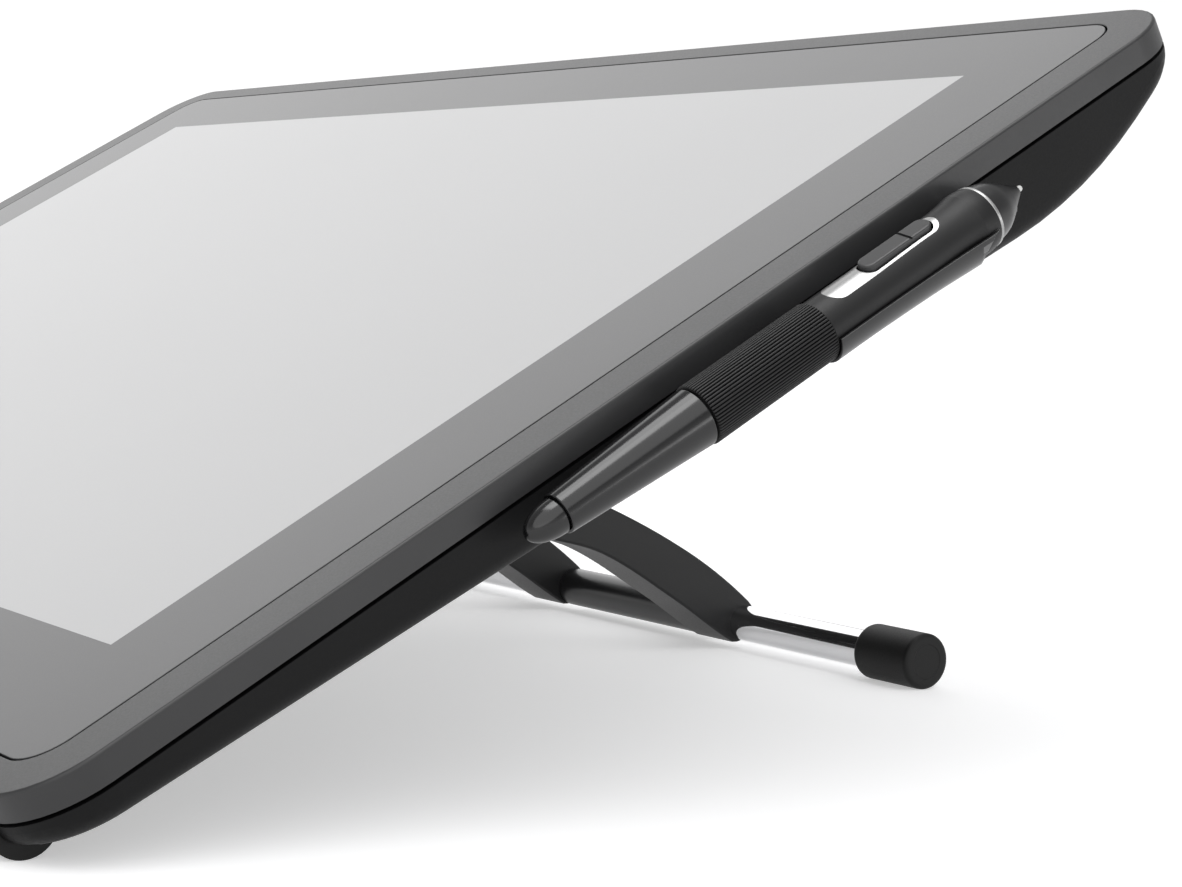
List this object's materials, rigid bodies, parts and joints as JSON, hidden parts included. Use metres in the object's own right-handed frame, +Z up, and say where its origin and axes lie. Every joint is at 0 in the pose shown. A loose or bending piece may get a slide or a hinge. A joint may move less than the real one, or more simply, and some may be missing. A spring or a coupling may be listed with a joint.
{
  "type": "pen drawing tablet",
  "caption": "Pen display with a flush glass face and wedge-shaped back, on folding chrome-footed legs, with its pen in a clip-on side holder.",
  "frame": {"origin": "middle of the footprint on the table, in the working pose", "axes": "+X to the user's right, +Y away from the user, +Z up; the screen leans back 31 degrees from flat"},
  "size_m": [0.5867, 0.3511, 0.1936],
  "materials": {
    "screen_glass": "etched matte glass",
    "front_plastic": "fine texture",
    "case_plastic": "fine texture",
    "holder_plastic": "satin",
    "black_foam": "matte",
    "liquid_crystal": "smooth",
    "white_film": "smooth",
    "led_board": "smooth",
    "pressed_metal": "pressed",
    "board_laminate": "solder mask",
    "ribbon": "smooth",
    "spreader_metal": "milled",
    "steel_parts": "plated",
    "nut_brass": "plain",
    "bush_bronze": "sintered",
    "socket_plastic": "moulded",
    "light_pipe_plastic": "clear",
    "foot_rubber": "matte",
    "stand_metal": "fine texture",
    "leg_paint": "fine texture",
    "chrome_tube": "polished",
    "pen_grip": "satin",
    "pen_nose": "satin",
    "pen_silver": "satin",
    "pen_switch_plastic": "satin",
    "pen_gloss": "polished",
    "nib_plastic": "plain"
  },
  "bodies": {
    "tablet": {"backlight_tray": "pressed_metal", "board_screws": "steel_parts", "button_board": "board_laminate", "case_screws": "steel_parts", "chassis_screws": "steel_parts", "cover_glass": "screen_glass", "flex_cables": "ribbon", "front_feet": "foot_rubber", "front_frame": "front_plastic", "glass_gasket": "black_foam", "heat_spreader": "spreader_metal", "hinge_bushes": "bush_bronze", "lcd_panel": "liquid_crystal", "led_strip": "led_board", "left_socket_plug": "case_plastic", "lever_pin": "steel_parts", "light_guide": "white_film", "main_board": "board_laminate", "mid_chassis": "pressed_metal", "mount_nuts": "nut_brass", "optical_sheets": "white_film", "panel_board": "board_laminate", "pen_sensor_board": "board_laminate", "power_jack": "socket_plastic", "rear_cover": "case_plastic", "sensor_shield": "pressed_metal", "stand_base": "stand_metal", "stand_base_screws": "steel_parts", "status_light_pipe": "light_pipe_plastic", "usb_port": "steel_parts", "video_port": "steel_parts"},
    "stand_arms": {"hinge_shaft": "steel_parts", "ratchet_wheel": "steel_parts", "hinge_washers": "steel_parts", "left_leg": "leg_paint", "right_leg": "leg_paint", "leg_bridge": "leg_paint", "foot_tube": "chrome_tube", "centre_sleeve": "foot_rubber", "left_end_cap": "foot_rubber", "right_end_cap": "foot_rubber"},
    "release_lever": {"release_lever": "leg_paint"},
    "power_button": {"power_button": "case_plastic"},
    "port_cover": {"port_cover": "case_plastic"},
    "pen_holder": {"pen_holder": "holder_plastic"},
    "pen": {"pen_nose_cone": "pen_nose", "pen_ring": "pen_silver", "pen_front_barrel": "pen_grip", "pen_side_plate": "pen_silver", "pen_ribbed_sleeve": "pen_grip", "pen_tail": "pen_gloss", "pen_core": "board_laminate", "pen_coil": "nut_brass"},
    "pen_side_switch": {"pen_side_switch": "pen_switch_plastic"},
    "pen_nib": {"pen_nib": "nib_plastic"},
    "pen_eraser": {"pen_eraser": "pen_gloss"}
  },
  "joints": [
    {"name": "stand_fold", "type": "hinge", "parent": "tablet", "child": "stand_arms", "pos_m": [-0.00882, -0.00779, 0.07404], "axis": [-1, 0, 0], "range_deg": [-29, 94]},
    {"name": "lever_release", "type": "hinge", "parent": "tablet", "child": "release_lever", "pos_m": [-0.00882, 0.0003, 0.08893], "axis": [1, 0, 0], "range_deg": [0, 8], "stiffness_Nm_per_rad": 0.4, "springref_deg": -11.46},
    {"name": "power_press", "type": "slide", "parent": "tablet", "child": "power_button", "axis": [0, -0.515, 0.8572], "range_m": [0, 0.0008], "stiffness_N_per_m": 400, "springref_m": -0.001},
    {"name": "port_cover_pull", "type": "slide", "parent": "tablet", "child": "port_cover", "axis": [0, 0.515, -0.8572], "range_m": [0, 0.015]},
    {"name": "holder_pull", "type": "slide", "parent": "tablet", "child": "pen_holder", "axis": [1, 0, 0], "range_m": [0, 0.016]},
    {"name": "pen_lift", "type": "slide", "parent": "pen_holder", "child": "pen", "axis": [0, -0.515, 0.8572], "range_m": [0, 0.025]},
    {"name": "side_switch_rock", "type": "hinge", "parent": "pen", "child": "pen_side_switch", "pos_m": [0.28573, 0.02509, 0.12843], "axis": [-0.9659, -0.1333, 0.2219], "range_deg": [-1.5, 1.5], "stiffness_Nm_per_rad": 0.02},
    {"name": "nib_press", "type": "slide", "parent": "pen", "child": "pen_nib", "axis": [0, -0.8572, -0.515], "range_m": [0, 0.0004], "stiffness_N_per_m": 800, "springref_m": -0.0002},
    {"name": "eraser_press", "type": "slide", "parent": "pen", "child": "pen_eraser", "axis": [0, 0.8572, 0.515], "range_m": [0, 0.0004], "stiffness_N_per_m": 500, "springref_m": -0.0002}
  ]
}
